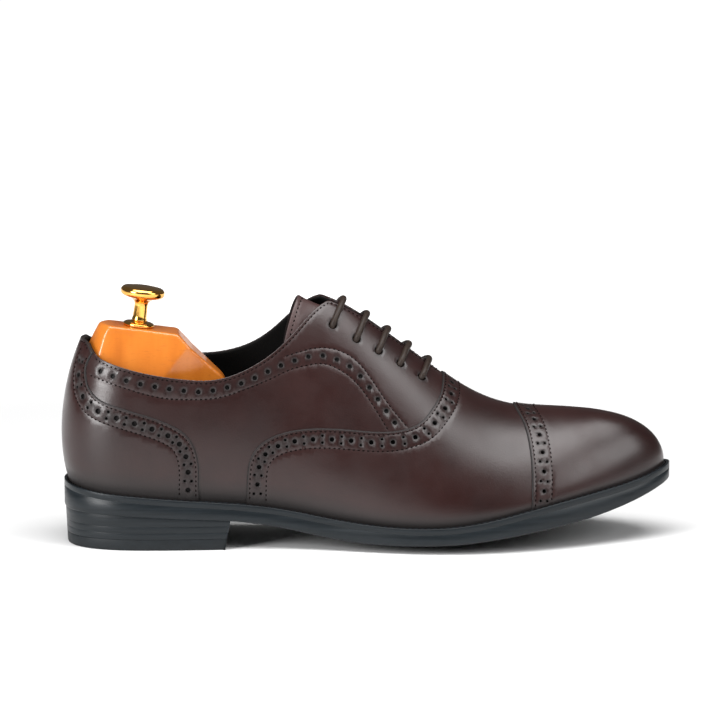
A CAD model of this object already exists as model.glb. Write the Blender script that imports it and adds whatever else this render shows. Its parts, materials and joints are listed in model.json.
"""The looks of a right-foot cap-toe oxford shoe with a spring shoe tree in it.

Shapes are worked out in millimetres with x = 0 at the heel's back, as the CAD source does,
and placed() turns them into metres in the shared frame, whose origin is the heel's centre.
"""
import json
from math import ceil, cos, pi, radians, sin, sqrt

import bmesh
import bpy
import numpy as np
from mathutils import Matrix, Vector
from mathutils.geometry import delaunay_2d_cdt
from mathutils.kdtree import KDTree


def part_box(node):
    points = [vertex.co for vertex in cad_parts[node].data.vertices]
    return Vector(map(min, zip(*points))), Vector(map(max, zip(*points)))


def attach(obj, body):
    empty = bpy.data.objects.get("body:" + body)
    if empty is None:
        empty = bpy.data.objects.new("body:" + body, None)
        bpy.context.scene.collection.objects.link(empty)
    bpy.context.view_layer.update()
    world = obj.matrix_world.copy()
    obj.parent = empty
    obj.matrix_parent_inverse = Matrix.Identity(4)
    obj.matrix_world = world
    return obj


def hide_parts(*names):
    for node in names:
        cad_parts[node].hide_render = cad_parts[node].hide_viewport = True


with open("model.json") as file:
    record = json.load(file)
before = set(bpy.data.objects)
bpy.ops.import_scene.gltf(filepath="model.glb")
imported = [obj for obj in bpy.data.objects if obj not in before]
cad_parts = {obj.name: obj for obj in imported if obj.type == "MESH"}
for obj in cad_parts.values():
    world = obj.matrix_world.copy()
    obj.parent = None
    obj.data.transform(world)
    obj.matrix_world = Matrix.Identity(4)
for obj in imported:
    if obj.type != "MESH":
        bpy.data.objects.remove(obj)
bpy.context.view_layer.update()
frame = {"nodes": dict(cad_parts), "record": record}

HEEL_CENTRE = 40.0     # from the back of the heel to the frame's origin
SHOE_LENGTH = 303.0

# Depths of the leathers, measured out from the quarters' face.
QUARTER_IN = -1.3
LINING_IN = -2.4
STIFF_FACE = -0.45     # just over the stiffeners under the counter cover and the toe cap
VAMP_OUT = 0.9
CAP_OUT = 1.7
TONGUE_OUT, TONGUE_IN = -6.3, -7.8
LACE = 3.1             # across
EYELET = 4.2           # across
EYELETS = [(133.6, 109.3), (145.3, 102.3), (156.2, 96.3), (167.0, 90.0), (177.6, 83.2)]
WELT = 3.0
WELT_REACH = (3.2, 4.6)     # how far the welt stands out past the upper, at the heel and at the toe

# The sections of the upper, as in the CAD source: foot x; lateral and medial foot y; crest x
# and z; then for each side its swell, its rise before it turns in, and the crest's half width.
STATIONS = [
    (3.2, 0.0, 0.0, 50.0, 135.0, 11.5, 32.0, 41.0, 11.5, 32.0, 41.0),
    (7.5, -17.0, 17.0, 52.0, 135.0, 10.0, 32.0, 35.0, 10.0, 32.0, 35.0),
    (22.0, -27.5, 28.0, 59.0, 135.0, 8.5, 34.0, 26.0, 8.5, 34.0, 26.0),
    (45.0, -30.8, 31.2, 74.0, 134.0, 7.5, 35.0, 21.0, 6.5, 35.0, 23.0),
    (72.0, -30.5, 29.2, 95.0, 131.5, 8.0, 35.0, 19.0, 5.0, 36.0, 21.0),
    (100.0, -29.8, 25.6, 116.0, 127.5, 9.0, 34.0, 17.0, 4.0, 37.0, 19.0),
    (128.0, -33.5, 26.5, 137.0, 120.0, 9.0, 31.0, 16.0, 5.0, 36.0, 19.0),
    (156.0, -41.5, 34.0, 156.5, 107.0, 7.0, 25.0, 17.5, 8.0, 34.0, 22.0),
    (184.0, -47.2, 43.5, 178.0, 90.6, 5.0, 19.0, 21.0, 8.0, 26.0, 26.0),
    (210.0, -46.8, 46.8, 201.0, 74.2, 3.5, 13.5, 24.0, 5.5, 19.0, 28.0),
    (234.0, -41.3, 44.2, 222.5, 65.6, 2.5, 11.0, 24.0, 4.0, 14.5, 28.0),
    (257.0, -32.2, 36.6, 243.0, 63.4, 2.0, 11.0, 22.0, 2.5, 12.5, 26.0),
    (277.0, -21.5, 25.8, 257.0, 62.5, 1.5, 11.5, 20.5, 2.0, 12.0, 22.5),
    (292.0, -11.5, 13.0, 265.5, 61.5, 1.0, 12.0, 21.0, 1.5, 12.0, 22.0),
    (298.5, 0.0, 0.0, 269.0, 60.9, 1.0, 12.0, 21.5, 1.0, 12.0, 21.5),
]
# Against x: the welt's upper face, the height of the sole's edge below it, and how far the
# sole's middle hangs below that edge. The welt turns up a little at the heel's back.
WELT_TOP = [(0, 31.6), (12, 29.4), (30, 27.5), (60, 25.0), (90, 22.6), (110, 19.9), (130, 16.3),
            (150, 13.8), (175, 12.8), (195, 14.0), (215, 17.4), (240, 22.8), (265, 27.4),
            (285, 31.4), (303, 37.0)]
EDGE_DEPTH = [(0, 13.4), (12, 11.6), (30, 10.2), (50, 9.6), (90, 8.6), (130, 8.4), (180, 8.7), (215, 10.0),
              (240, 11.0), (265, 10.5), (285, 8.9), (303, 7.6)]
SOLE_BELLY = [(0, 0), (60, 0), (90, 0.6), (120, 2.6), (150, 3.9), (175, 4.15), (200, 3.9),
              (230, 3.0), (265, 2.0), (285, 1.2), (303, 0.6)]

# Seam lines, as x and z on the side of the shoe, and the mouth's edge on each side.
VAMP_SEAM = [(195, 100), (189, 84), (187, 76), (181.5, 68.4), (175.5, 62.7), (168, 59.9), (141, 59.8),
             (113, 59.3), (103.5, 56.7), (95.5, 51.5), (91.5, 44.5), (90.2, 36), (90.2, 16)]
CAP_SEAM = [(218.5, 80), (223.5, 66.5), (227.3, 60), (229.6, 51), (230.3, 42), (230.2, 33), (229.5, 10)]
COUNTER_SEAM = [(19, 105), (14.3, 95.4), (11.8, 90), (11.6, 85), (13, 79.8), (17.8, 74.9), (24.5, 72.2),
                (34, 69.4), (44.2, 66.3), (53.2, 62.6), (60, 58), (64.2, 51.5), (66.2, 43.5), (66.4, 34),
                (66.4, 18)]
TOPLINE = {0: [(-9, 102.3), (5, 102.3), (12, 101.6), (15.3, 96.6), (21.5, 93.2), (31.7, 90.1),
               (46.8, 86.8), (60.3, 84.9), (69, 84.3), (78.6, 85.3), (88, 88.3), (97, 92.8),
               (105, 98.2), (118, 110.4), (124.5, 116.6), (129.3, 119.6), (134, 120.8), (141, 118.4)],
           2: [(-9, 102.3), (5, 102.3), (12, 101.8), (15.8, 98.6), (21.5, 96.4), (31.7, 94.2),
               (46.8, 91.6), (60.3, 90.0), (69, 89.6), (81.4, 91), (94.6, 95.7), (103.3, 101.7),
               (114, 112.2), (121, 118.4), (126, 121.4), (131, 122.6), (136, 121.6), (142, 118)]}
FACING_GAP = [(112, 5.1), (138, 4.2), (186, 1.6), (193.5, 1.5)]     # x and half width

# The quarter's own decoration: a row of single holes between two rows of stitches.
QUARTER_HOLES = [(18.3, 88.5), (31.2, 84.5), (45.8, 81.5), (60.7, 79.3), (68.8, 78.8), (76, 79.8),
                 (91.2, 83.8), (105, 89.9), (119.1, 94.4), (125.9, 95.4), (133.2, 93.9), (139.7, 91),
                 (145.7, 86.2), (154.5, 75.2), (163.2, 63.3)]
QUARTER_ROWS = [[(109.3, 95), (117.4, 97.3), (126.9, 98.8), (136.2, 97.3), (144, 93), (150.9, 85.3),
                 (160.6, 71.5), (169.7, 60.7)],
                [(12.9, 86.2), (21.9, 83.4), (34.1, 79.7), (50.2, 75.9), (62.8, 75.2), (75.7, 75.8),
                 (85.8, 78.5), (103, 84.9), (111.6, 88.6), (120.3, 90.7), (129.7, 91.1), (135.4, 88.9),
                 (142.4, 84.2), (149.1, 76.6), (160.4, 58.8)]]


def add_object(name, data):
    made = bpy.data.objects.new(name, data)
    bpy.context.scene.collection.objects.link(made)
    return made


# ---- the camera ----

YAW, LOW = radians(3.0), radians(9.5)     # the view swings and tips down by these
AIM = (147.5, 89.3)                        # what the picture's centre shows, right and up, in mm
LENS = 250.0


def make_camera():
    right = Vector((cos(YAW), -sin(YAW), 0))
    look = Vector((sin(YAW) * cos(LOW), cos(YAW) * cos(LOW), -sin(LOW)))
    up = right.cross(look)
    middle = (right * AIM[0] + up * AIM[1] - Vector((HEEL_CENTRE, 0, 0))) / 1000
    camera = add_object("camera", bpy.data.cameras.new("camera"))
    camera.data.lens = LENS
    camera.data.sensor_width = 36.0
    camera.data.clip_end = 50.0
    camera.location = middle - look * (LENS / 100.0)
    camera.rotation_euler = look.to_track_quat("-Z", "Y").to_euler()
    bpy.context.scene.camera = camera


make_camera()


# ---- the upper's surface ----

NEAR = 1e-4            # a small step of u or t, to take slopes with


def unit(v):
    return v / np.linalg.norm(v, axis=1)[:, None]


def arc_lengths(points):
    """The distance from the first point to each, along the line."""
    return np.concatenate([[0], np.cumsum(np.linalg.norm(np.diff(points, axis=0), axis=1))])


def at_places(places, at, line):
    """Points of a line at places measured as at measures its own points."""
    return np.stack([np.interp(places, at, line[:, i]) for i in range(line.shape[1])], 1)


def spline_through(knots, values, closed=False):
    """A cubic spline, smooth to its second derivative, through rows of values."""
    k, v = np.array(knots, float), np.array(values, float).reshape(len(knots), -1)
    gap = np.diff(k)
    rise = np.diff(v, axis=0) / gap[:, None]
    count = len(k) - 1 if closed else len(k)
    matrix, right = np.eye(count), np.zeros((count, v.shape[1]))
    for i in range(0 if closed else 1, count if closed else count - 1):
        matrix[i, i] = 2 * (gap[i - 1] + gap[i])
        matrix[i, i - 1] = gap[i - 1]
        matrix[i, (i + 1) % count] = gap[i]
        right[i] = 6 * (rise[i] - rise[i - 1])
    bend = np.linalg.solve(matrix, right)
    if closed:
        bend = np.vstack([bend, bend[:1]])

    def at(x):
        x = np.atleast_1d(np.array(x, float))
        i = np.clip(np.searchsorted(k, x, side="right") - 1, 0, len(k) - 2)
        w = gap[i][:, None]
        b = (x - k[i])[:, None] / w
        a = 1 - b
        return a * v[i] + b * v[i + 1] + ((a**3 - a) * bend[i] + (b**3 - b) * bend[i + 1]) * w**2 / 6

    return at


WELT_CURVE, EDGE_CURVE, BELLY_CURVE = (spline_through(*zip(*t)) for t in (WELT_TOP, EDGE_DEPTH, SOLE_BELLY))


def welt_top(x):
    return WELT_CURVE(np.clip(x, 0, SHOE_LENGTH))[:, 0]


def sole_under(x, y):
    """Height of the outsole's underside."""
    x = np.clip(x, 0, SHOE_LENGTH)
    edge = WELT_CURVE(x)[:, 0] - EDGE_CURVE(x)[:, 0]
    belly = np.maximum(BELLY_CURVE(x)[:, 0], 0)
    return edge - belly * (1 - (y / 50.0) ** 2)


def section_loop():
    """The stations as one closed spline: 0 at the heel, 1 at the toe, 2 at the heel again."""
    rows = np.array(STATIONS)
    lateral, medial = rows[:, [0, 1, 3, 4, 5, 6, 7]], rows[:, [0, 2, 3, 4, 8, 9, 10]]
    steps = sum(np.hypot(*np.diff(side[:, :2], axis=0).T) for side in (lateral, medial))
    half = np.concatenate([[0], np.cumsum(steps)]) / steps.sum()
    knots = np.concatenate([half, 2 - half[-2::-1]])
    return spline_through(knots, np.vstack([lateral, medial[-2::-1]]), closed=True)


LOOP = section_loop()
UP = np.array([0, 0, 1.0])


def surface(u, t, grow=0.0):
    """Points of the upper: u round the shoe, t from the welt to the crest, grow outwards."""
    u, t = np.atleast_1d(np.array(u, float)), np.atleast_1d(np.array(t, float))
    u, t = np.broadcast_arrays(u, t)
    grow = np.broadcast_to(np.array(grow, float), u.shape)[:, None]
    t = t[:, None]
    fx, fy, cx, cz, out, up, over = LOOP(u % 2).T
    along = (LOOP((u + NEAR) % 2) - LOOP((u - NEAR) % 2))[:, :2]
    nx, ny = unit(np.stack([along[:, 1], -along[:, 0]], 1)).T
    side = np.clip(np.where(u % 2 > 1, 2 - u % 2, u % 2), 0.02, 0.98)
    tx, tz = unit((LOOP(side + 0.01) - LOOP(side - 0.01))[:, 2:4]).T
    zero = 0 * fx
    outward = np.stack([nx, ny, zero], 1)
    across = np.stack([nx * tx, ny, nx * tz], 1)
    foot = np.stack([fx, fy, welt_top(fx)], 1)
    crest = np.stack([cx, zero, cz], 1)
    low = foot + out[:, None] * outward + up[:, None] * UP
    high = crest + over[:, None] * across
    around = np.cross(UP, outward)
    n0, n1 = (unit(np.cross(leg, around)) for leg in (foot - low, low - high))
    n2 = np.stack([-tz, zero, tx], 1)
    share = lambda a, b: (a + b) / (1 + (a * b).sum(1))[:, None]
    foot, low = foot + grow * n0, low + grow * share(n0, n1)
    high, crest = high + grow * share(n1, n2), crest + grow * n2
    return (1 - t) ** 3 * foot + 3 * (1 - t) ** 2 * t * low + 3 * (1 - t) * t ** 2 * high + t ** 3 * crest


def on(line, grow=0.0):
    return surface(line[:, 0], line[:, 1], grow)


def slopes(line, grow=0.0):
    """How the surface moves with u and with t, and its outward normal, along a line."""
    du, dt = ((on(line + step, grow) - on(line - step, grow)) / (2 * NEAR) for step in ((NEAR, 0), (0, NEAR)))
    return du, dt, unit(np.cross(du, dt))


def steps_for(du, dt, ways):
    """The changes of u and t that move a point of the surface one millimetre along ways."""
    a, b, c = (du * du).sum(1), (du * dt).sum(1), (dt * dt).sum(1)
    p, q = (du * ways).sum(1), (dt * ways).sum(1)
    det = a * c - b * b
    return np.stack([(c * p - b * q) / det, (a * q - b * p) / det], 1)


GRID_U, GRID_T = np.meshgrid(np.linspace(0, 1, 161), np.linspace(0, 1, 61), indexing="ij")
GRID = np.stack([GRID_U.ravel(), GRID_T.ravel()], 1)


def tree_of(points):
    tree = KDTree(len(points))
    for i, p in enumerate(points):
        tree.insert(p, i)
    tree.balance()
    return tree


def side_u(side, s):
    """u of a place s along one side: side 0 is lateral and 2 is medial."""
    return s if side == 0 else 2 - s


def find(points, side, axes=(0, 2), grow=0.0):
    """Places (s, t) on one side whose coordinates on two axes are these. Others are left out."""
    points = np.array(points, float)
    there = lambda st: surface(side_u(side, st[:, 0]), st[:, 1], grow)[:, axes]
    tree = tree_of([(*p, 0) for p in there(GRID)])
    st = np.array([GRID[tree.find((*p, 0))[1]] for p in points])
    for _ in range(12):
        miss = points - there(st)
        ds, dt = ((there(st + step) - there(st - step)) / (2 * NEAR) for step in ((NEAR, 0), (0, NEAR)))
        det = ds[:, 0] * dt[:, 1] - ds[:, 1] * dt[:, 0]
        det = np.where(abs(det) < 1e-3, 1e-3, det)
        step = np.stack([miss[:, 0] * dt[:, 1] - miss[:, 1] * dt[:, 0],
                         ds[:, 0] * miss[:, 1] - ds[:, 1] * miss[:, 0]], 1) / det[:, None]
        st = np.clip(st + np.clip(step, -0.05, 0.05), (-0.02, -0.06), (1.02, 1.0))
    good = np.hypot(*(points - there(st)).T) < 0.05
    return st[good]


def curve_through(points, step=0.12, straight=0):
    """Close points along a smooth line; the first few runs may be straight."""
    points = np.array(points, float)
    at = arc_lengths(points)
    along = np.linspace(0, at[-1], int(at[-1] / step) + 2)
    smooth = spline_through(at[straight:], points[straight:])(along)
    early = along < at[straight]
    smooth[early] = at_places(along[early], at, points)
    return smooth


def stretched(line):
    """A line that stops near the crest, carried on over it, so that it can be cut there."""
    for end, nxt, front in ((0, 3, True), (-1, -4, False)):
        if line[end, 1] > 0.93:
            slope = (line[end] - line[nxt]) / max(line[end, 1] - line[nxt, 1], 1e-4)
            beyond = line[end] + slope * (1.07 - line[end, 1])
            line = np.vstack([[beyond], line]) if front else np.vstack([line, [beyond]])
    return line


def seam(points, side, straight=0):
    return stretched(find(curve_through(points, straight=straight), side))


def clip(line, low, high):
    """The part of a line with t between low and high."""
    within = np.flatnonzero((line[:, 1] >= low) & (line[:, 1] <= high))
    first, last = within[0], within[-1]
    parts = [line[first:last + 1]]
    for outer, inner, front in ((first - 1, first, True), (last + 1, last, False)):
        if 0 <= outer < len(line):
            bound = low if line[outer, 1] < low else high
            share = (bound - line[inner, 1]) / (line[outer, 1] - line[inner, 1])
            point = line[inner] + share * (line[outer] - line[inner])
            parts.insert(0 if front else len(parts), point[None])
    return np.vstack(parts)


def crossing(a, b):
    """Where two lines first meet, as a place along each of them."""
    r, w = np.diff(a, axis=0)[:, None], np.diff(b, axis=0)[None]
    d = b[None, :-1] - a[:-1, None]
    det = r[..., 0] * w[..., 1] - r[..., 1] * w[..., 0]
    det = np.where(abs(det) < 1e-14, 1e-14, det)
    i = (d[..., 0] * w[..., 1] - d[..., 1] * w[..., 0]) / det
    j = (d[..., 0] * r[..., 1] - d[..., 1] * r[..., 0]) / det
    hit = np.argwhere((i >= 0) & (i <= 1) & (j >= 0) & (j <= 1))[0]
    return hit[0] + i[tuple(hit)], hit[1] + j[tuple(hit)]


def part_of(line, start, end):
    """A line between two places along it."""
    place = np.arange(len(line))
    inner = line[(place > start) & (place < end)]
    ends = at_places([start, end], place, line)
    return np.vstack([ends[:1], inner, ends[1:]])


def evenly(line, step):
    """The same line with its points a fixed distance apart on the surface."""
    at = arc_lengths(on(line))
    places = np.linspace(0, at[-1], max(2, int(round(at[-1] / step)) + 1))
    return at_places(places, at, line)


def moved(line, distance):
    """A line carried sideways over the surface, to its left as seen from outside."""
    line = evenly(line, 0.8)
    turns = max(1, int(ceil(abs(distance) / 2.0)))
    for _ in range(turns):
        du, dt, normal = slopes(line)
        along = unit(np.gradient(on(line), axis=0))
        line = line + steps_for(du, dt, np.cross(normal, along)) * distance / turns
    return line


def ring(place, radius, count):
    """A round loop on the surface about a place."""
    place = np.array(place, float)
    du, dt, normal = slopes(place[None])
    first = unit(du)
    second = np.cross(normal, first)
    g1, g2 = steps_for(du, dt, first)[0], steps_for(du, dt, second)[0]
    angles = 2 * pi * np.arange(count) / count
    return place + radius * (np.cos(angles)[:, None] * g1 + np.sin(angles)[:, None] * g2)


# ---- making meshes ----

def placed(points):
    return (np.asarray(points, float) - (HEEL_CENTRE, 0, 0)) / 1000


def edit(mesh, change):
    """Puts a mesh through a change made by bmesh."""
    work = bmesh.new()
    work.from_mesh(mesh)
    change(work)
    work.to_mesh(mesh)
    work.free()


def evaluated(obj):
    """The mesh that an object's curve or modifiers come to."""
    bpy.context.view_layer.update()
    return bpy.data.meshes.new_from_object(obj.evaluated_get(bpy.context.evaluated_depsgraph_get()))


def tube_faces(rings, sides):
    """Faces of a closed tube made of rings of points, given end to end."""
    faces = []
    for k in range(rings - 1):
        near, far = k * sides, (k + 1) * sides
        faces += [(near + i, near + (i + 1) % sides, far + (i + 1) % sides, far + i) for i in range(sides)]
    return faces + [tuple(range(sides))[::-1], tuple(range((rings - 1) * sides, rings * sides))]


def make_object(name, points, faces, material, body="root", replaces=(), merge=0.0, sharp=40):
    """A smooth mesh of points in millimetres. Faces that meet by more than sharp degrees keep their edge."""
    mesh = bpy.data.meshes.new(name)
    mesh.from_pydata([tuple(p) for p in placed(points)], [], [tuple(int(i) for i in f) for f in faces])
    if merge:
        edit(mesh, lambda work: bmesh.ops.remove_doubles(work, verts=work.verts, dist=merge))
    mesh.validate()
    mesh.polygons.foreach_set("use_smooth", [True] * len(mesh.polygons))
    mesh.set_sharp_from_angle(angle=radians(sharp))
    mesh.materials.append(material)
    made = add_object(name, mesh)
    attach(made, body)
    if replaces:
        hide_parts(*replaces)
    return made


SPAN = np.array([330.0, 100.0])     # about how many millimetres u and t stand for


def nearest(tree_points, points):
    """Distance from each point to the nearest of the others."""
    if not len(tree_points):
        return np.full(len(points), CLEAR)
    tree = tree_of(tree_points)
    return np.array([tree.find(p)[2] for p in points])


def inside(points, loop):
    """Which points lie within a closed loop."""
    x, y = points[:, 0], points[:, 1]
    result = np.zeros(len(points), bool)
    for (x0, y0), (x1, y1) in zip(loop, np.roll(loop, -1, axis=0)):
        if y0 != y1:
            hit = ((y0 > y) != (y1 > y)) & (x < (x1 - x0) * (y - y0) / (y1 - y0) + x0)
            result ^= hit
    return result


GRAIN = 1.7            # spacing of a panel's inner points
ROUND = 0.42           # the rounding of a cut leather edge
GROOVE, GROOVE_WIDE = 0.2, 0.42     # depth of a stitch row's groove, and half its width
DISH, DISH_WIDE = 0.16, 0.2         # depth and width of the dip round a hole
CLEAR = 99.0                        # stands for the distance to a line that isn't there


def hole_sides(radius):
    return 16 if radius > 0.9 else 12


def cut_panel(loop_parts, holes, rows, step=1.1):
    """Points and triangles of one flat piece of leather, laid out in u and t."""
    points, edges = [], []

    def add_chain(chain, closed):
        start = len(points)
        points.extend(chain)
        edges.extend((start + i, start + i + 1) for i in range(len(chain) - 1))
        if closed:
            edges.append((start + len(chain) - 1, start))

    loop = np.vstack([evenly(part, step)[:-1] for part, _ in loop_parts])
    add_chain(loop, True)
    free = [evenly(part, 0.9) for part, rounded in loop_parts if rounded]
    for part in free:
        for inset in (ROUND / 3, ROUND):
            add_chain(moved(part, inset)[1:-1], False)
    for hole in holes:
        add_chain(ring(hole[:2], hole[2], hole_sides(hole[2])), True)
        points.extend(ring(hole[:2], hole[2] + DISH_WIDE, hole_sides(hole[2])))
    for row in rows:
        add_chain(evenly(row, step), False)
        for aside in (-GROOVE_WIDE, GROOVE_WIDE):
            points.extend(evenly(moved(row, aside), step))
    low, high = loop.min(0), loop.max(0)
    fixed = np.array(points)
    count = np.ceil((high - low) * SPAN / GRAIN).astype(int)
    us, ts = (np.linspace(a, b, n + 1) for a, b, n in zip(low, high, count))
    grid = np.array([(u + (0.5 * (us[1] - us[0]) if j % 2 else 0), t) for j, t in enumerate(ts) for u in us])
    grid = grid[inside(grid, loop)]
    if len(grid):
        clear = nearest([(*p, 0) for p in fixed * SPAN], [(*p, 0) for p in grid * SPAN])
        points.extend(grid[clear > 0.62 * GRAIN])
    flat = [Vector(p * SPAN) for p in np.array(points)]
    verts, _, faces, *_ = delaunay_2d_cdt(flat, edges, [], 0, 1e-5)
    st = np.array([v[:] for v in verts]) / SPAN
    triangles = np.array(faces)
    middle = st[triangles].mean(1)
    keep = inside(middle, loop)
    for hole in holes:
        near = np.flatnonzero(keep & (abs(middle - hole[:2]) * SPAN < 2 * hole[2] + 2).all(1))
        keep[near] &= ~inside(middle[near], ring(hole[:2], hole[2] * 0.999, hole_sides(hole[2])))
    triangles = triangles[keep]
    a, b, c = (st[triangles[:, i]] for i in range(3))
    facing_in = (b - a)[:, 0] * (c - a)[:, 1] - (b - a)[:, 1] * (c - a)[:, 0] < 0
    triangles[facing_in] = triangles[facing_in][:, ::-1]
    return st, triangles


# Where the dark edge dressing is full and where it ends: from a cut edge and from a hole's rim
# in millimetres, and from the welt in t.
EDGE_INK, RIM_INK, FOOT_INK = (0.325, 0.975), (0.09, 0.39), (0.0254, 0.11)


def fade(distance, full, gone):
    """1 up to the distance full, then down to 0 at gone."""
    return np.clip((gone - distance) / (gone - full), 0, 1)


def weld(work):
    """Joins points that meet and drops the ones with no face."""
    bmesh.ops.remove_doubles(work, verts=work.verts, dist=1e-5)
    bmesh.ops.delete(work, geom=[v for v in work.verts if not v.link_faces], context="VERTS")


def depth_of(face, points):
    return face(points) if callable(face) else np.full(len(points), face, float)


def leather_piece(name, halves, outer, inner, material, replaces, swap=False, inked=1.0):
    """A closed piece of leather with rounded cut edges, holes right through and sunk stitch rows.

    halves are (loop parts, holes, rows) laid out in u and t; they meet along the crest.
    With swap, the rounded corner is on the inner face. inked is how dark the cut edges are.
    """
    points, faces, ink = [], [], []
    for loop_parts, holes, rows in halves:
        st, triangles = cut_panel(loop_parts, holes, rows)
        base = on(st)
        free = [on(evenly(part, 0.15)) for part, rounded in loop_parts if rounded]
        edge = nearest(np.vstack(free) if free else [], base)
        rims = [on(ring(h[:2], h[2], 48)) for h in holes]
        rim = nearest(np.vstack(rims) if rims else [], base)
        groove = nearest(np.vstack([on(evenly(row, 0.2)) for row in rows]) if rows else [], base)
        drop = ROUND - np.sqrt(np.maximum(ROUND ** 2 - (ROUND - np.clip(edge, 0, ROUND)) ** 2, 0))
        drop = drop + DISH * fade(rim, 0, DISH_WIDE) ** 2 + GROOVE * np.exp(-(groove / 0.3) ** 2)
        top, bottom = depth_of(outer, base), depth_of(inner, base)
        if swap:
            bottom = bottom + drop
        else:
            top = top - drop
        count, start = len(st), len(points)
        points.extend(surface(st[:, 0], st[:, 1], top))
        points.extend(surface(st[:, 0], st[:, 1], bottom))
        stain = [inked * fade(edge, *EDGE_INK), fade(rim, *RIM_INK), fade(st[:, 1], *FOOT_INK)]
        ink.extend(np.max(stain, axis=0))
        ink.extend(np.where(edge < 0.01, inked, 1.0))
        faces.extend(triangles + start)
        faces.extend(triangles[:, ::-1] + start + count)
        sides = np.vstack([triangles[:, [0, 1]], triangles[:, [1, 2]], triangles[:, [2, 0]]])
        known = {(a, b) for a, b in sides.tolist()}
        for a, b in known:
            joined = st[a, 1] > 1 - 1e-6 and st[b, 1] > 1 - 1e-6
            if (b, a) not in known and not joined:
                faces.append((b + start, a + start, a + start + count, b + start + count))
    made = make_object(name, np.array(points), faces, material, replaces=replaces)
    attribute = made.data.attributes.new("ink", "FLOAT", "POINT")
    if len(made.data.vertices) == len(ink):
        attribute.data.foreach_set("value", np.array(ink, np.float32))
    edit(made.data, weld)


# ---- stitches ----

STITCH, STITCH_PITCH = 1.45, 2.4      # a stitch's length, and from one to the next
THREAD = 0.34                         # the thread's radius
SUNK = 0.05                           # how deep a stitch's axis lies below the face


def stitch_shape(length, radius, rings=5, sides=6):
    """One stitch along x, arched, with its two ends going down into the leather."""
    points = []
    for share in np.linspace(-1, 1, rings):
        fat = radius * (0.55 + 0.45 * cos(share * pi / 2))
        dip = radius * 1.25 * share ** 4
        for j in range(sides):
            angle = 2 * pi * j / sides
            points.append((share * length / 2, fat * cos(angle), fat * sin(angle) - dip - SUNK))
    return np.array(points), [face[::-1] for face in tube_faces(rings, sides)]


def stitches(name, rows, material, length=STITCH, pitch=STITCH_PITCH, radius=THREAD):
    """rows are (points, outward normals) along lines of stitches."""
    shape, shape_faces = stitch_shape(length, radius)
    points, faces = [], []
    for line, out in rows:
        at = arc_lengths(line)
        for place in np.arange(pitch * 0.6, at[-1] - pitch * 0.3, pitch):
            ends = at_places([place - length / 2, place, place + length / 2], at, line)
            normal = at_places([place], at, out)[0]
            along = (ends[2] - ends[0]) / np.linalg.norm(ends[2] - ends[0])
            normal = normal - along * (normal @ along)
            normal = normal / np.linalg.norm(normal)
            side = np.cross(normal, along)
            start = len(points)
            points.extend(ends[1] + shape[:, :1] * along + shape[:, 1:2] * side + shape[:, 2:] * normal)
            faces.extend(tuple(start + i for i in face) for face in shape_faces)
    make_object(name, np.array(points), faces, material, sharp=80)


def sewn(rows, depth):
    """Stitch rows on the upper, at a depth, as points and normals."""
    result = []
    for row in rows:
        row = evenly(row, 0.7)
        grow = depth(on(row)) if callable(depth) else depth
        result.append((on(row, grow), slopes(row)[2]))
    return result


# ---- materials ----

def new_material(name):
    material = bpy.data.materials.new(name)
    material.use_nodes = True
    tree = material.node_tree
    return material, tree, tree.nodes["Principled BSDF"]


def node(tree, kind, inputs=None, **settings):
    made = tree.nodes.new(kind)
    for key, value in settings.items():
        setattr(made, key, value)
    for key, value in (inputs or {}).items():
        if isinstance(value, bpy.types.NodeSocket):
            tree.links.new(value, made.inputs[key])
        else:
            made.inputs[key].default_value = value
    return made


def ramp(tree, factor, stops):
    made = node(tree, "ShaderNodeValToRGB", {"Fac": factor})
    elements = made.color_ramp.elements
    while len(elements) < len(stops):
        elements.new(0.5)
    for element, (place, colour) in zip(elements, stops):
        element.position = place
        element.color = (*colour, 1.0) if len(colour) == 3 else colour
    return made.outputs["Color"]


def spot(tree, stretch=(1, 1, 1)):
    where = node(tree, "ShaderNodeTexCoord").outputs["Object"]
    if stretch == (1, 1, 1):
        return where
    return node(tree, "ShaderNodeMapping", {"Vector": where, "Scale": stretch}).outputs["Vector"]


def noise(tree, where, scale, detail=2.0, rough=0.5):
    inputs = {"Vector": where, "Scale": scale, "Detail": detail, "Roughness": rough}
    return node(tree, "ShaderNodeTexNoise", inputs).outputs["Fac"]


def bump(tree, height, strength, distance, after=None):
    inputs = {"Height": height, "Strength": strength, "Distance": distance}
    if after is not None:
        inputs["Normal"] = after
    return node(tree, "ShaderNodeBump", inputs).outputs["Normal"]


def blend_colours(tree, factor, a, b):
    a, b = ((*c, 1.0) if isinstance(c, tuple) else c for c in (a, b))
    return node(tree, "ShaderNodeMix", {0: factor, 6: a, 7: b}, data_type="RGBA").outputs[2]


def spread(tree, value, ends, places=(0.3, 0.7)):
    """A value made to run between two ends, which it meets at two places."""
    inputs = {"Value": value, "From Min": places[0], "From Max": places[1],
              "To Min": ends[0], "To Max": ends[1]}
    return node(tree, "ShaderNodeMapRange", inputs).outputs["Result"]


def finish(shader, **settings):
    """Links or sets the shader's sockets; a name's underscores stand for spaces."""
    for key, value in settings.items():
        socket = shader.inputs[key.replace("_", " ")]
        if isinstance(value, bpy.types.NodeSocket):
            shader.id_data.links.new(value, socket)
        else:
            socket.default_value = value


INK_ROUGH = 0.85


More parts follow.
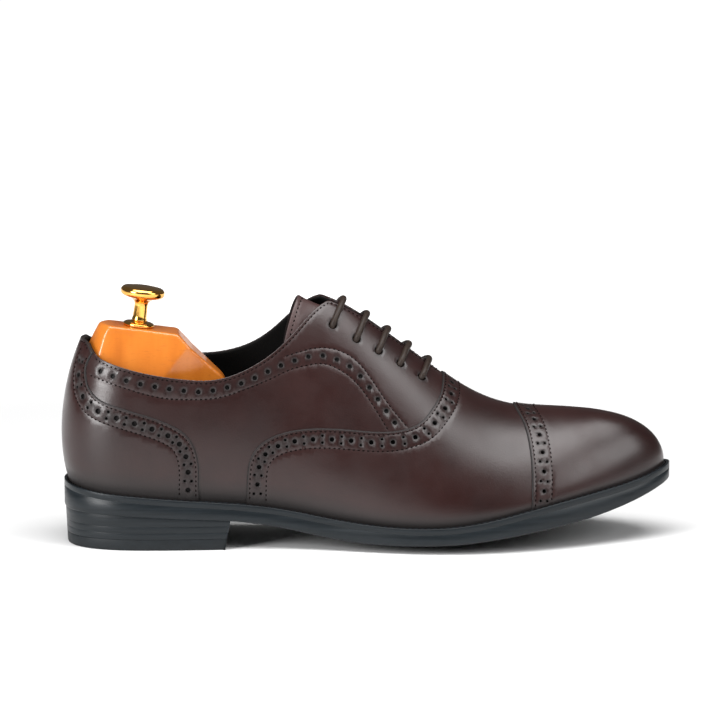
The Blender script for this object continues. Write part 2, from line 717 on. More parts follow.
def leather_material(name, deep, mid, pale, rough=(0.28, 0.38), grain=0.35, coat=0.14, gloss=0.5):
    """Smooth polished calf: mottled colour, fine pores and a soft gloss, inked at its cut edges."""
    material, tree, shader = new_material(name)
    where = spot(tree)
    cloud = noise(tree, where, 22.0, 3.0, 0.6)
    colour = ramp(tree, cloud, [(0.32, deep), (0.52, mid), (0.74, pale)])
    fine = noise(tree, where, 900.0, 4.0, 0.65)
    colour = blend_colours(tree, 0.16, colour, ramp(tree, fine, [(0.3, deep), (0.7, pale)]))
    ink = node(tree, "ShaderNodeAttribute", attribute_name="ink").outputs["Fac"]
    colour = blend_colours(tree, ink, colour, tuple(0.22 * c for c in deep))
    dull = spread(tree, noise(tree, where, 60.0, 4.0, 0.6), rough)
    matte = spread(tree, ink, (0, INK_ROUGH), (0, 1))
    dull = node(tree, "ShaderNodeMath", {0: dull, 1: matte}, operation="MAXIMUM").outputs["Value"]
    cells = node(tree, "ShaderNodeTexVoronoi", {"Vector": where, "Scale": 1500.0},
                 feature="SMOOTH_F1").outputs["Distance"]
    normal = bump(tree, cells, grain * 0.5, 0.00012)
    normal = bump(tree, fine, grain, 0.00008, normal)
    normal = bump(tree, noise(tree, where, 140.0, 2.0), grain * 0.5, 0.0002, normal)
    finish(shader, Base_Color=colour, Roughness=dull, Normal=normal, Specular_IOR_Level=gloss,
           Coat_Weight=coat, Coat_Roughness=0.28)
    return material


def plain_material(name, dark, pale, scale, rough, metal=0.0, stretch=(1, 1, 1), height=0.00005,
                   strength=0.4, gloss=0.3):
    """A finish with one noise for its colour and roughness, and a finer one for its relief."""
    material, tree, shader = new_material(name)
    where = spot(tree, stretch)
    patch = noise(tree, where, scale, 4.0, 0.6)
    relief = noise(tree, where, scale * 6, 3.0)
    finish(shader, Base_Color=ramp(tree, patch, [(0.3, dark), (0.7, pale)]), Metallic=metal,
           Roughness=spread(tree, patch, rough), Normal=bump(tree, relief, strength, height),
           Specular_IOR_Level=gloss)
    return material


def wood_material():
    """Varnished beech: soft bands across, and short fine flecks along the grain."""
    material, tree, shader = new_material("varnished_wood")
    bands = noise(tree, spot(tree, (95, 22, 22)), 1.0, 3.0, 0.5)
    colour = ramp(tree, bands, [(0.3, (0.48, 0.122, 0.009)), (0.5, (0.57, 0.157, 0.014)),
                                (0.7, (0.63, 0.19, 0.021))])
    fleck = noise(tree, spot(tree, (260, 1500, 1500)), 1.0, 3.0, 0.6)
    colour = blend_colours(tree, ramp(tree, fleck, [(0.56, (0, 0, 0)), (0.72, (0.4, 0.4, 0.4))]),
                           colour, (0.4, 0.1, 0.01))
    finish(shader, Base_Color=colour, Roughness=spread(tree, fleck, (0.25, 0.42), (0, 1)),
           Normal=bump(tree, fleck, 0.2, 0.00006), Coat_Weight=0.5, Coat_Roughness=0.14)
    return material


CALF = leather_material("calf", (0.0125, 0.0028, 0.0024), (0.0185, 0.0047, 0.004), (0.0255, 0.0077, 0.0067))
CALF_TONGUE = leather_material("tongue_calf", (0.03, 0.011, 0.0105), (0.042, 0.0165, 0.0155),
                               (0.054, 0.024, 0.022), (0.42, 0.56))
LINING = leather_material("lining_leather", (0.002, 0.0017, 0.0017), (0.0032, 0.0027, 0.0027),
                          (0.005, 0.0042, 0.0042), (0.5, 0.65), 0.5, 0.0, 0.2)
DRESSED = (0.006, 0.0085, 0.0105), (0.012, 0.016, 0.0195)     # the black of the sole's and heel's edges
SOLE_EDGE = plain_material("sole_edge", *DRESSED, 30, (0.3, 0.42), stretch=(1, 1, 24), height=0.00006,
                           strength=0.35)
THREAD_DARK = plain_material("thread", (0.0025, 0.0012, 0.001), (0.009, 0.005, 0.0045), 900, (0.7, 0.85),
                             gloss=0.08)
WOOD = wood_material()
BRASS = plain_material("polished_brass", (0.86, 0.44, 0.09), (0.94, 0.53, 0.14), 90, (0.1, 0.18), metal=1.0,
                       strength=0.05)
STEEL = plain_material("steel", (0.55, 0.54, 0.52), (0.68, 0.67, 0.65), 120, (0.22, 0.38), metal=1.0,
                       strength=0.15)
FINISHES = {
    "sole_edge": SOLE_EDGE, "spring_steel": STEEL, "brass": BRASS, "polished_brass": BRASS,
    "tree_metal": STEEL, "tree_wood": WOOD, "upper_leather": CALF, "lining": LINING,
    "tongue_leather": CALF_TONGUE,
    "welt": plain_material("welt_ink", (0.004, 0.005, 0.006), (0.008, 0.0095, 0.011), 160, (0.3, 0.42)),
    "insole": plain_material("insole_leather", (0.32, 0.19, 0.1), (0.42, 0.27, 0.15), 70, (0.6, 0.8)),
    "insock": plain_material("insock_leather", (0.004, 0.003, 0.003), (0.009, 0.007, 0.007), 300, (0.5, 0.7)),
    "cork": plain_material("cork", (0.2, 0.1, 0.045), (0.42, 0.25, 0.12), 420, (0.8, 0.95), strength=0.8),
    "heel_rubber": plain_material("heel_rubber", (0.006, 0.008, 0.0095), (0.011, 0.0145, 0.0175), 200,
                                  (0.45, 0.6)),
    "heel_stack": plain_material("heel_stack", *DRESSED, 30, (0.3, 0.45), stretch=(1, 1, 30)),
    "stiffener": plain_material("stiffener", (0.004, 0.003, 0.003), (0.008, 0.006, 0.006), 300, (0.7, 0.85)),
    "lace": plain_material("lace_cord", (0.011, 0.0065, 0.0045), (0.034, 0.021, 0.015), 1300, (0.42, 0.6),
                           height=0.0001),
    "aglet": plain_material("aglet_film", (0.01, 0.006, 0.005), (0.02, 0.013, 0.01), 200, (0.2, 0.3)),
}


def dress_cad_nodes():
    """Every CAD node gets the finish of its material slot in the record."""
    for entry in frame["record"]["subparts"]:
        mesh = frame["nodes"][entry["node"]].data
        mesh.materials.clear()
        mesh.materials.append(FINISHES[entry["material_slot"]])


dress_cad_nodes()


# ---- the upper's seams and panels ----

FOOT = -0.004          # the leathers go down just past the welt's top
LOWEST_ROW = 0.012     # where stitch rows stop, over the foot
HOLE_PITCH = 9.3
EDGE_ROW, BAND = 1.5, 9.6      # the stitch rows either side of a punched band, from its raised edge
BAND_MIDDLE = 5.3              # the band's large holes, from the same edge
CAP_ROWS, CAP_MIDDLE = (1.8, 10.2), 6.2        # the same for the toe cap
QUARTER_PITCH, QUARTER_HOLE = 7.1, 1.15


def along_foot(first, last):
    return np.array([[u, FOOT] for u in np.linspace(first, last, 60)])


def crest(first, last):
    return np.array([[u, 1.0] for u in np.linspace(first, last, 40)])


def mirrored(line, about):
    """A medial line, given from the heel's end, laid out in u beyond the toe or the heel."""
    return np.stack([2 * about - line[:, 0], line[:, 1]], 1)


def marks_over(holes, rows, side, about):
    """One side's holes and stitch rows, laid out in u beyond the toe or the heel if they are medial."""
    if side == 0:
        return holes, rows
    return [(2 * about - u, t, radius) for u, t, radius in holes], [mirrored(row, about) for row in rows]


def side_lines(side):
    """Every seam and edge line of one side, in s and t."""
    top = find(curve_through(TOPLINE[side], straight=2), side)
    xs = np.arange(FACING_GAP[0][0], FACING_GAP[-1][0], 0.3)
    ys = np.interp(xs, *zip(*FACING_GAP)) * (side - 1)
    facing = find(np.stack([xs, ys], 1), side, axes=(0, 1))
    vamp = seam(VAMP_SEAM, side)
    cap = seam(CAP_SEAM, side)
    counter = find(curve_through(COUNTER_SEAM), side)
    top[0, 0] = 0.0
    return {"top": top, "facing": facing, "vamp": vamp, "cap": cap, "counter": counter}


LINES = {side: side_lines(side) for side in (0, 2)}


def corners(side):
    """The stretches of the lines between their meetings."""
    lines = LINES[side]
    at_counter = crossing(lines["counter"], lines["top"])
    at_facing = crossing(lines["top"], lines["facing"])
    at_vamp = crossing(lines["vamp"], lines["facing"])
    vamp, cap = clip(lines["vamp"], FOOT, 1.0), clip(lines["cap"], FOOT, 1.0)
    counter = clip(part_of(lines["counter"], at_counter[0], len(lines["counter"])), FOOT, 1.0)
    below = clip(part_of(lines["vamp"], at_vamp[0], len(lines["vamp"])), FOOT, 1.0)
    return {"vamp": vamp, "cap": cap, "counter": counter, "vamp_below": below,
            "facing": part_of(lines["facing"], at_facing[1], at_vamp[1]),
            "top_front": part_of(lines["top"], at_counter[1], at_facing[0]),
            "top_back": part_of(lines["top"], 0, at_counter[1]),
            "top": part_of(lines["top"], 0, at_facing[0])}


CUT = {side: corners(side) for side in (0, 2)}


def row_along(line, inset):
    return clip(moved(line, inset), LOWEST_ROW, 1.0)


def broguing(line, inset, big=1.3, small=0.74, gap=1.7):
    """Holes along a band: a large one, then a pair of small ones across the band."""
    centre, aside = moved(line, inset), (moved(line, inset - gap), moved(line, inset + gap))
    holes = []
    count = int(arc_lengths(on(centre))[-1] / (HOLE_PITCH / 2))
    for i in range(count):
        lines, radius = ((centre,), big) if i % 2 == 0 else (aside, small)
        for each in lines:
            place = at_places([(i + 0.6) / count], np.linspace(0, 1, len(each)), each)[0]
            holes.append((*place, radius))
    return [h for h in holes if 0.02 < h[1] < 0.985]


def vamp_half(side):
    cut = CUT[side]
    loop = [(along_foot(cut["vamp"][-1, 0], cut["cap"][-1, 0]), False), (cut["cap"][::-1], False),
            (crest(cut["cap"][0, 0], cut["vamp"][0, 0]), False), (cut["vamp"], True)]
    line = LINES[side]["vamp"]
    rows = [row_along(line, d) for d in (EDGE_ROW, BAND)]
    return loop, broguing(line, BAND_MIDDLE, big=1.15, small=0.68), rows


def laid_out(half, side, about):
    """One side's half, given in s and t, laid out in u and t."""
    if side == 0:
        return half
    loop, holes, rows = half
    loop = [(mirrored(part, about)[::-1], rounded) for part, rounded in loop][::-1]
    return loop, *marks_over(holes, rows, side, about)


def cap_whole():
    """The toe cap is laid out in one, round the toe."""
    a, b = CUT[0]["cap"], mirrored(CUT[2]["cap"], 1)
    top_a, top_b = a[0, 0], b[0, 0]
    loop = [(along_foot(a[-1, 0], b[-1, 0]), False), (b[::-1], True), (crest(top_b, 1.0), False),
            (crest(1.0, top_a), False), (a, True)]
    holes, rows = [], []
    for side in (0, 2):
        line = LINES[side]["cap"]
        found = broguing(line, CAP_MIDDLE, big=1.0, small=0.64, gap=1.75)
        found, lines = marks_over(found, [row_along(line, d) for d in CAP_ROWS], side, 1)
        holes += found
        rows += lines
    return [(loop, holes, rows)]


def counter_whole():
    """The counter cover is laid out in one, round the heel: u is below 0 on the medial side."""
    a, b = CUT[0], {key: mirrored(line, 0) for key, line in CUT[2].items()}
    loop = [(along_foot(b["counter"][-1, 0], a["counter"][-1, 0]), False), (a["counter"][::-1], True),
            (a["top_back"][::-1], True), (b["top_back"], True), (b["counter"], True)]
    holes, rows = [], []
    for side in (0, 2):
        line, limit = LINES[side]["counter"][::-1], CUT[side]["top"].T
        found = [h for h in broguing(line, BAND_MIDDLE) if h[1] < np.interp(h[0], *limit) - 0.035 and h[0] > 0.012]
        lines = [moved(line, d) for d in (EDGE_ROW, BAND)]
        lines = [row[(row[:, 1] > LOWEST_ROW) & (row[:, 0] > 0.004)
                     & (row[:, 1] < np.interp(row[:, 0], *limit) - 0.012)] for row in lines]
        lines.append(moved(CUT[side]["top_back"], -EDGE_ROW)[3:-3])
        found, lines = marks_over(found, lines, side, 0)
        holes += found
        rows += lines
    return [(loop, holes, rows)]


def quarter_lines(points, side):
    """A line of the quarter's decoration: on the medial side it follows the higher topline."""
    points = curve_through(points, 0.4)
    if side == 2:
        x = points[:, 0]
        rise = np.interp(x, *zip(*TOPLINE[2])) - np.interp(x, *zip(*TOPLINE[0]))
        points[:, 1] += rise * np.clip((122 - x) / 20, 0, 1)
    return find(points, side)


def eyelet_holes(side):
    return [(*find([place], side)[0], EYELET / 2) for place in EYELETS]


def quarter_half(side):
    cut = CUT[side]
    loop = [(along_foot(cut["counter"][-1, 0], cut["vamp_below"][-1, 0]), False),
            (cut["vamp_below"][::-1], False), (cut["facing"][::-1], True), (cut["top_front"][::-1], True),
            (cut["counter"], False)]
    holes = eyelet_holes(side)
    places = evenly(quarter_lines(QUARTER_HOLES, side), QUARTER_PITCH)
    clear = nearest(on(cut["vamp_below"]), on(places))
    holes += [(*place, QUARTER_HOLE) for place, gap in zip(places, clear) if gap > 3.2]
    rim = np.vstack([cut["top_front"], cut["facing"][1:]])
    rows = [moved(rim, -EDGE_ROW)[3:-2]]
    for points in QUARTER_ROWS:
        line = quarter_lines(points, side)
        away = np.minimum(nearest(on(cut["vamp_below"]), on(line)), nearest(on(cut["counter"]), on(line)))
        rows.append(line[away > 0.8])
    return loop, holes, rows


def lining_whole():
    a, b = CUT[0], {key: mirrored(line, 0) for key, line in CUT[2].items()}
    loop = [(along_foot(b["vamp_below"][-1, 0], a["vamp_below"][-1, 0]), False),
            (a["vamp_below"][::-1], False), (a["facing"][::-1], True), (a["top"][::-1], True),
            (b["top"], True), (b["facing"], True), (b["vamp_below"], False)]
    holes = [hole for side in (0, 2) for hole in marks_over(eyelet_holes(side), [], side, 0)[0]]
    return [(loop, holes, [])]


TONGUE_END = [(107.2, -18), (110.6, -12.5), (114.5, -6), (117.3, 0)]     # x and y of its top end
TONGUE_FRONT = 0.63                     # u of its front, which is hidden under the vamp
TONGUE_RISE, LACED_FROM = 2.2, 129.0    # it bows up by this behind the laces
TONGUE_ROW = 2.2                        # its stitches, from its end


def tongue_half(side):
    """The tongue, from its top end over the instep to the front."""
    points = curve_through([(x, y * (1 - side)) for x, y in TONGUE_END])
    end = find(points, side, axes=(0, 1), grow=TONGUE_OUT)
    end[-1, 1] = 1.0
    low = end[0, 1]
    edge = np.array([[u, low] for u in np.linspace(end[0, 0], TONGUE_FRONT, 60)])
    front = np.array([[TONGUE_FRONT, t] for t in np.linspace(low, 1, 20)])
    loop = [(edge, True), (front, False), (crest(TONGUE_FRONT, end[-1, 0]), False), (end[::-1], True)]
    return loop, [], [moved(end, -TONGUE_ROW)[2:]]


def tongue_face(points):
    return TONGUE_OUT + TONGUE_RISE * np.clip((LACED_FROM - points[:, 0]) / 12, 0, 1) ** 2


def tongue_back(points):
    return tongue_face(points) - (TONGUE_OUT - TONGUE_IN)


PUFF_BACK, COUNTER_TOP = 237.0, 83.0    # where the stiffeners end: x of the toe's, z of the heel's


def over_puff(points):
    """The cap's inner face, which lies over the stiffener and on the lining behind it."""
    return QUARTER_IN + (STIFF_FACE - QUARTER_IN) * (1 - fade(points[:, 0], PUFF_BACK, PUFF_BACK + 3))


def over_counter(points):
    """The counter cover's inner face, which lies over the stiffener and on the quarters above it."""
    return QUARTER_IN + (STIFF_FACE - QUARTER_IN) * fade(points[:, 2], COUNTER_TOP - 3, COUNTER_TOP)


CALF_PIECES = [
    ("vamp", [laid_out(vamp_half(side), side, 1) for side in (0, 2)], VAMP_OUT, QUARTER_IN, 1.0),
    ("toe_cap", cap_whole(), CAP_OUT, over_puff, 1.0),
    ("counter_cover", counter_whole(), VAMP_OUT, over_counter, 1.0),
    ("quarter_lateral", [laid_out(quarter_half(0), 0, 1)], 0, QUARTER_IN, 0.1),
    ("quarter_medial", [laid_out(quarter_half(2), 2, 1)], 0, QUARTER_IN, 0.1)]
TONGUE_HALVES = [laid_out(tongue_half(side), side, 1) for side in (0, 2)]

for node_name, halves, outer, inner, inked in CALF_PIECES:
    leather_piece(node_name + "_leather", halves, outer, inner, CALF, [node_name],
                  inked=inked)
leather_piece("quarter_lining_leather", lining_whole(), QUARTER_IN, LINING_IN, LINING,
              ["quarter_lining"], swap=True)
leather_piece("tongue_leather", TONGUE_HALVES, tongue_face, tongue_back, CALF_TONGUE,
              ["tongue"], inked=0.0)

for node_name, halves, outer, *_ in CALF_PIECES + [("tongue", TONGUE_HALVES, tongue_face)]:
    sewn_rows = [row for half in halves for row in half[2] if len(row) > 8]
    stitches(node_name + "_stitches", sewn(sewn_rows, outer), THREAD_DARK)


# ---- the sole and the heel ----

ROUND_COUNT = 720
ROUND_U = 2 * np.arange(ROUND_COUNT) / ROUND_COUNT


def foot_outline(offset, us=ROUND_U):
    """The welt's outline in plan, moved out by offset."""
    here = surface(us, 0)
    along = surface(us + 0.01, 0) - surface(us - 0.01, 0)
    out = unit(np.stack([along[:, 1], -along[:, 0]], 1))
    reach = WELT_REACH[0] + (WELT_REACH[1] - WELT_REACH[0]) * np.minimum(us, 2 - us)
    return here[:, :2] + out * (reach + offset)[:, None]


def rings_of(profile):
    """Rings round the shoe, each from its (offset from the outer edge, height)."""
    plans = [(foot_outline(offset), height) for offset, height in profile]
    return [np.column_stack([xy, height(xy[:, 0], xy[:, 1])]) for xy, height in plans]


def welt_face(drop):
    return lambda x, y: welt_top(x) - drop


def sole_face(rise):
    return lambda x, y: sole_under(x, y) + rise


CHANNEL = -1.9         # where the welt's stitches run, from its outer edge
CHANNEL_DEPTH = 0.3
WELT_IN = -8.0         # the welt's hidden inner edge
SPINE = (26, 276)      # x of the ends of the line that the sole's underside closes on
UNDER_RINGS = 16


def welt():
    rings = rings_of([
        (WELT_IN, welt_face(WELT)), (-0.04, welt_face(WELT)), (0, welt_face(WELT - 0.04)),
        (0, welt_face(0.3)),
        (-0.09, welt_face(0.1)), (-0.3, welt_face(0)), (-0.55, welt_face(0)), (-0.9, welt_face(0.02)),
        (CHANNEL + 0.45, welt_face(0.03)), (CHANNEL + 0.25, welt_face(CHANNEL_DEPTH)),
        (CHANNEL - 0.25, welt_face(CHANNEL_DEPTH)), (CHANNEL - 0.45, welt_face(0.03)), (-3.4, welt_face(0)),
        (WELT_IN, welt_face(0))])
    faces = tube_faces(len(rings) + 1, ROUND_COUNT)[:-2]
    faces = [tuple(i % (len(rings) * ROUND_COUNT) for i in face) for face in faces]
    make_object("welt_strip", np.vstack(rings), faces, SOLE_EDGE, replaces=["welt"], sharp=60)


def outsole():
    """The outsole: a wall with rounded edges, a crowned underside and a hidden upper face."""
    rings = rings_of([
        (-0.04, welt_face(WELT)), (0, welt_face(WELT + 0.04)), (0, sole_face(0.9)), (-0.12, sole_face(0.45)),
        (-0.4, sole_face(0.14)), (-0.85, sole_face(0.02))])
    edge = rings[-1][:, :2]
    share = np.minimum(ROUND_U, 2 - ROUND_U)
    spine = np.column_stack([SPINE[0] + (SPINE[1] - SPINE[0]) * share, 0 * share])
    under = [edge + (spine - edge) * w for w in np.linspace(0, 1, UNDER_RINGS)[1:]]
    rings += [np.column_stack([xy, sole_under(xy[:, 0], xy[:, 1])]) for xy in under]
    last_under = len(rings) - 1
    rings += [np.column_stack([xy, welt_top(xy[:, 0]) - WELT]) for xy in under[::-1]]
    faces = [face[::-1] for face in tube_faces(len(rings) + 1, ROUND_COUNT)[:-2]]
    del faces[last_under * ROUND_COUNT:(last_under + 1) * ROUND_COUNT]
    faces = [tuple(i % (len(rings) * ROUND_COUNT) for i in face) for face in faces]
    make_object("outsole_unit", np.vstack(rings), faces, SOLE_EDGE, replaces=["outsole"],
                merge=1e-6, sharp=60)


welt()
outsole()


def welt_stitches():
    xy = foot_outline(CHANNEL, np.linspace(0, 2, 1400) % 2)
    line = np.column_stack([xy, welt_top(xy[:, 0]) - 0.12])
    stitches("welt_stitches", [(line, np.tile(UP, (len(line), 1)))], THREAD_DARK, length=2.7,
             pitch=3.1, radius=0.36)


welt_stitches()

HEEL_BREAST = 80.5
HEEL_SIDE = HEEL_BREAST + 1.5
HEEL_FRONT_ZONE = HEEL_BREAST - 20
HOLLOW = 70.0          # radius of the heel's hollow front
HOLLOW_DEPTH = 4.0     # how far the hollow's middle lies behind HEEL_BREAST
HEEL_INSET = 0.6       # from the welt's edge
TOP_LIFT, HEEL_LIFT = 5.6, 3.2
HEEL_TAPER = 0.9       # how much further in the heel's foot stands than its top
FRONT_SLANT = 2.0      # and how much further back the foot of its front stands


def heel_outline():
    """The heel in plan: round the back, then over its hollow front."""
    xy = foot_outline(-HEEL_INSET, np.linspace(-0.32, 0.32, 400) % 2)
    xy = xy[xy[:, 0] < HEEL_SIDE]
    middle = HEEL_BREAST + HOLLOW - HOLLOW_DEPTH
    reach = sqrt(HOLLOW ** 2 - (middle - HEEL_SIDE) ** 2)
    ys = np.linspace(-reach, reach, 60)
    front = np.column_stack([middle - np.sqrt(HOLLOW ** 2 - ys ** 2), ys])
    return np.vstack([xy, front])


def slab(name, low, high, finish_name, replaces, bevel):
    """One layer of the heel, its edges eased; it goes up to the sole if high is None."""
    plan = heel_outline()
    along = np.roll(plan, -1, axis=0) - np.roll(plan, 1, axis=0)
    out = unit(np.stack([along[:, 1], -along[:, 0]], 1))
    if (plan[:, 0] * np.roll(plan[:, 1], -1) - plan[:, 1] * np.roll(plan[:, 0], -1)).sum() < 0:
        out = -out
    full = sole_under(plan[:, 0], plan[:, 1])
    front = np.clip((plan[:, 0] - HEEL_FRONT_ZONE) / (HEEL_BREAST - HEEL_FRONT_ZONE), 0, 1)
    top = full + 0.3 if high is None else np.full(len(plan), high)
    rings = []
    for height, inset in ((low, bevel), (low + bevel * 0.3, bevel * 0.3), (low + bevel, 0),
                          (top - bevel, 0), (top - bevel * 0.3, bevel * 0.3), (top, bevel)):
        height = np.broadcast_to(height, len(plan))
        down = 1 - np.clip(height / full, 0, 1)
        layer = plan - out * (inset + HEEL_TAPER * down)[:, None]
        layer[:, 0] -= front * FRONT_SLANT * down
        rings.append(np.column_stack([layer, height]))
    made = make_object(name, np.vstack(rings), tube_faces(len(rings), len(plan)), FINISHES[finish_name],
                       replaces=replaces, sharp=50)
    edit(made.data, lambda work: bmesh.ops.recalc_face_normals(work, faces=work.faces))


LEVELS = [0.0, TOP_LIFT, TOP_LIFT + HEEL_LIFT, TOP_LIFT + 2 * HEEL_LIFT]
slab("heel_top_piece", LEVELS[0], LEVELS[1], "heel_rubber", ["top_lift"], 0.45)
slab("heel_layer_1", LEVELS[1], LEVELS[2], "heel_stack", ["heel_lift_1"], 0.07)
slab("heel_layer_2", LEVELS[2], LEVELS[3], "heel_stack", ["heel_lift_2"], 0.07)
slab("heel_layer_3", LEVELS[3], None, "heel_stack", ["heel_lift_3"], 0.09)


# ---- the lace ----

LACE_UP = LACE / 2 + 0.35
TAIL_SINK = 0.6        # each point of a tucked end lies this much deeper than the one before
LACE_LEAN = 0.011      # how much further forward the lace crosses the ridge than its eyelets, in u
LACE_UNDER = LINING_IN - LACE / 2 - 0.1


def eyelet_place(row, side):
    s, t = find([EYELETS[row]], side)[0]
    return side_u(side, s), t


def bar(row, start):
    """The lace out of one eyelet, over the ridge and down into the one opposite."""
    ends = [eyelet_place(row, side) for side in (start, 2 - start)]
    ahead = lambda u: LACE_LEAN * (1 if u < 1 else -1)
    down = [[surface(u, t, LACE_UNDER)[0], surface(u, t, LACE_UP)[0],
             surface(u + 0.8 * ahead(u), t + (1 - t) * 0.5, LACE_UP + 0.2)[0]] for u, t in ends]
    ridge = sum(surface(u + ahead(u), 1, LACE_UP + 0.4)[0] for u, _ in ends) / 2
    return down[0] + [ridge] + down[1][::-1]


def hidden(start_row, end_row, side, aside):
    """Points between two eyelets of one side, under the facing, passing aside of the row between."""
    rows = range(min(start_row, end_row) + 1, max(start_row, end_row))
    points = [surface(u, t + aside, LACE_UNDER)[0] for u, t in (eyelet_place(row, side) for row in rows)]
    return points if end_row > start_row else points[::-1]


def tail(row, side, drops):
    """The lace's end, tucked down inside the shoe."""
    u, t = eyelet_place(row, side)
    step = 1 if side == 0 else -1
    return [surface(u + step * along, t - fall, LACE_UNDER - TAIL_SINK * k)[0]
            for k, (along, fall) in enumerate(drops, 1)]


def lace_route():
    """The lace from one tucked end to the other, as straight bars with hidden runs between."""
    lateral, medial = 0, 2
    route = tail(1, lateral, [(0.004, 0.07), (0.012, 0.14), (0.016, 0.22)])[::-1]
    route += bar(1, lateral) + hidden(1, 3, medial, -0.055)
    route += bar(3, medial) + bar(4, lateral) + hidden(4, 2, medial, 0.055)
    route += bar(2, medial) + hidden(2, 0, lateral, 0.055) + bar(0, lateral)
    route += tail(0, medial, [(0.004, 0.07), (0.014, 0.14), (0.02, 0.22)])
    return placed(route)


def spline_points(route):
    """Close points along the lace's NURBS spline."""
    data = bpy.data.curves.new("lace_line", "CURVE")
    data.dimensions = "3D"
    spline = data.splines.new("NURBS")
    spline.points.add(len(route) - 1)
    for point, place in zip(spline.points, route):
        point.co = (*place, 1.0)
    spline.order_u = 3
    spline.use_endpoint_u = True
    spline.resolution_u = 24
    line = add_object("lace_line", data)
    mesh = evaluated(line)
    points = np.array([v.co for v in mesh.vertices])
    bpy.data.objects.remove(line)
    bpy.data.meshes.remove(mesh)
    return points


LACE_SIDES, STRANDS = 24, 6
TWIST = 2 * pi / 7.5   # a strand's turn in each millimetre
RELIEF = 0.045         # the strands' height, as a share of the lace's radius


def lace():
    """A round waxed lace, braided of strands that cross each other, as relief on a tube."""
    line = spline_points(lace_route()) * 1000
    at = arc_lengths(line)
    places = np.arange(0, at[-1], 0.3)
    line = at_places(places, at, line)
    along = unit(np.gradient(line, axis=0))
    points = []
    across = np.cross(along[0], UP)
    for k, (here, way) in enumerate(zip(line, along)):
        across = across - way * (across @ way)
        across = across / np.linalg.norm(across)
        third = np.cross(way, across)
        for angle in 2 * pi * np.arange(LACE_SIDES) / LACE_SIDES:
            left = cos(STRANDS * (angle - TWIST * places[k]))
            right = cos(STRANDS * (angle + TWIST * places[k]))
            radius = LACE / 2 * (1 - RELIEF + RELIEF * max(left, right))
            points.append(here + radius * (cos(angle) * across + sin(angle) * third))
    make_object("waxed_lace", np.array(points) + (HEEL_CENTRE, 0, 0), tube_faces(len(line), LACE_SIDES),
                FINISHES["lace"], replaces=["lace"], sharp=75)
    print("lace", round(at[-1], 1), "mm")


lace()


# ---- the shoe tree ----

def eased(name, cad_name, body, voxel=0.0008, turns=8):
    """A CAD solid's shape with its corners softened, as sanded wood has."""
    source = frame["nodes"][cad_name]
    made = add_object(name, source.data.copy())
    remesh = made.modifiers.new("remesh", "REMESH")
    remesh.mode, remesh.voxel_size, remesh.use_smooth_shade = "VOXEL", voxel, True
    smooth = made.modifiers.new("smooth", "SMOOTH")
    smooth.factor, smooth.iterations = 0.5, turns
    mesh = evaluated(made)
    made.modifiers.clear()
    made.data = mesh
    mesh.materials.clear()
    mesh.materials.append(WOOD)
    mesh.polygons.foreach_set("use_smooth", [True] * len(mesh.polygons))
    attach(made, body)
    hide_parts(cad_name)


eased("tree_heel_wood", "tree_heel_block", "tree_heel", 0.0007, 12)
eased("tree_toe_wood_lateral", "tree_toe_lateral", "tree_toe")
eased("tree_toe_wood_medial", "tree_toe_medial", "root")

BLOCK_TOP = [(20.0, 109.6), (57.0, 104.8)]
KNOB_AT = 37.5
LEAN = np.arctan2(BLOCK_TOP[0][1] - BLOCK_TOP[1][1], BLOCK_TOP[1][0] - BLOCK_TOP[0][0])


def turned(name, profile, replaces, sides=96):
    """A turned brass piece on the tree's top, from its outline as (radius, height) corners."""
    foot = np.array([KNOB_AT, 0, np.interp(KNOB_AT, *zip(*BLOCK_TOP))])
    points = []
    for radius, height in profile:
        for angle in 2 * pi * np.arange(sides) / sides:
            x, y = radius * cos(angle), radius * sin(angle)
            points.append(foot + (x * cos(LEAN) + height * sin(LEAN), y, height * cos(LEAN) - x * sin(LEAN)))
    make_object(name, np.array(points), tube_faces(len(profile), sides), BRASS, body="tree_heel",
                replaces=replaces, sharp=60)


def rounded(profile, radius):
    """(radius, height) corners with a small arc at each inner one."""
    profile = np.array(profile)
    result = [profile[0]]
    for before, here, after in zip(profile, profile[1:], profile[2:]):
        back, on_ = np.linalg.norm(before - here), np.linalg.norm(after - here)
        cut = min(radius, 0.42 * back, 0.42 * on_)
        start, end = here + cut * (before - here) / back, here + cut * (after - here) / on_
        result += [(1 - w) ** 2 * start + 2 * w * (1 - w) * here + w ** 2 * end for w in np.linspace(0, 1, 6)]
    return result + [profile[-1]]


COLLAR = [(6.6, -0.05), (7.8, 0.3), (7.8, 1.5), (6.6, 2.2), (4.6, 2.5), (4.1, 2.85), (0.5, 2.9)]
KNOB = [(0.5, 2.8), (4.0, 2.8), (3.5, 4.6), (3.3, 11.0), (3.7, 12.4), (5.6, 14.0), (9.6, 15.0), (11.0, 16.2),
        (11.0, 18.3), (9.9, 19.6), (5.0, 20.3), (0.5, 20.5)]
turned("tree_brass_collar", rounded(COLLAR, 0.5), ["tree_knob_collar"])
turned("tree_brass_knob", rounded(KNOB, 0.9), ["tree_knob"])


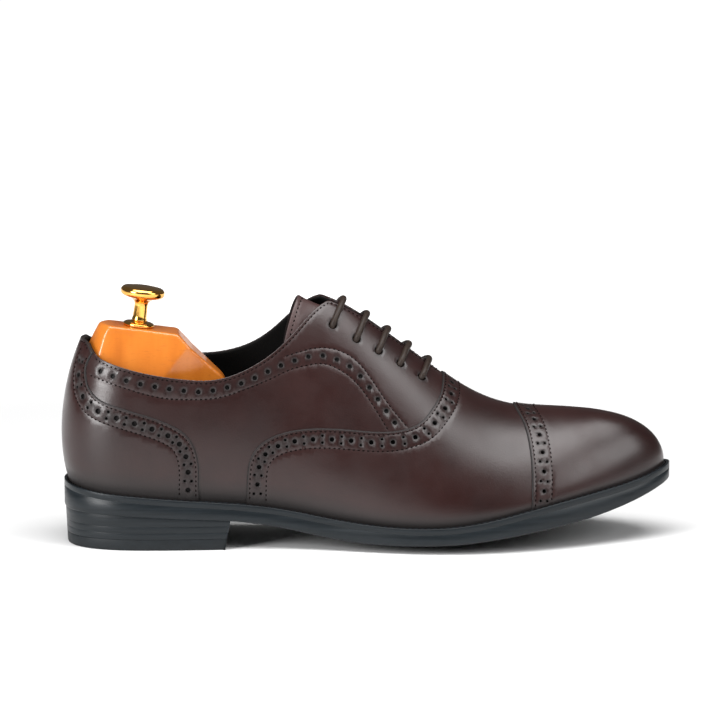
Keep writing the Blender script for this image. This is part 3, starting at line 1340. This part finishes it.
# ---- the stage ----

FLOOR = 14.0           # half its width, in metres


def floor_material():
    material, tree, shader = new_material("pale_floor")
    tint = ramp(tree, noise(tree, spot(tree), 3.0), [(0.3, (0.84, 0.84, 0.84)), (0.7, (0.86, 0.86, 0.86))])
    away = node(tree, "ShaderNodeVectorMath", {0: spot(tree)}, operation="LENGTH").outputs["Value"]
    glow = node(tree, "ShaderNodeMapRange", {"Value": away, "From Min": 0.3, "From Max": 0.9, "To Max": 0.9},
                interpolation_type="SMOOTHSTEP")
    finish(shader, Base_Color=tint, Emission_Strength=glow.outputs["Result"], Emission_Color=(1, 1, 1, 1),
           Roughness=0.6, Specular_IOR_Level=0.2)
    return material


def make_stage():
    mesh = bpy.data.meshes.new("floor")
    corners_ = [(FLOOR * x, FLOOR * y, 0) for x, y in ((-1, -1), (1, -1), (1, 1), (-1, 1))]
    mesh.from_pydata(corners_, [], [(0, 1, 2, 3)])
    mesh.materials.append(floor_material())
    floor = add_object("floor", mesh)
    floor.location.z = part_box("top_lift")[0].z


def softbox(name, place, aim, size, power):
    data = bpy.data.lights.new(name, "AREA")
    data.shape, data.size, data.size_y, data.energy = "RECTANGLE", size[0], size[1], power
    lamp = add_object(name, data)
    lamp.location = place
    lamp.rotation_euler = (Vector(aim) - Vector(place)).to_track_quat("-Z", "Y").to_euler()


def make_light():
    world = bpy.data.worlds.new("studio")
    world.use_nodes = True
    world.node_tree.nodes["Background"].inputs["Color"].default_value = (1, 1, 1, 1)
    world.node_tree.nodes["Background"].inputs["Strength"].default_value = 0.1
    bpy.context.scene.world = world
    middle = (0.11, 0, 0.05)
    softbox("softbox_over", (0.15, -0.35, 1.3), middle, (1.5, 0.9), 26)
    softbox("softbox_left", (-1.15, -0.95, 0.6), middle, (0.6, 0.7), 21)
    softbox("softbox_toe", (1.2, -0.7, 0.8), middle, (0.7, 0.7), 7)
    bpy.context.scene.view_settings.view_transform = "Standard"
    bpy.context.scene.view_settings.look = "None"


make_stage()
make_light()
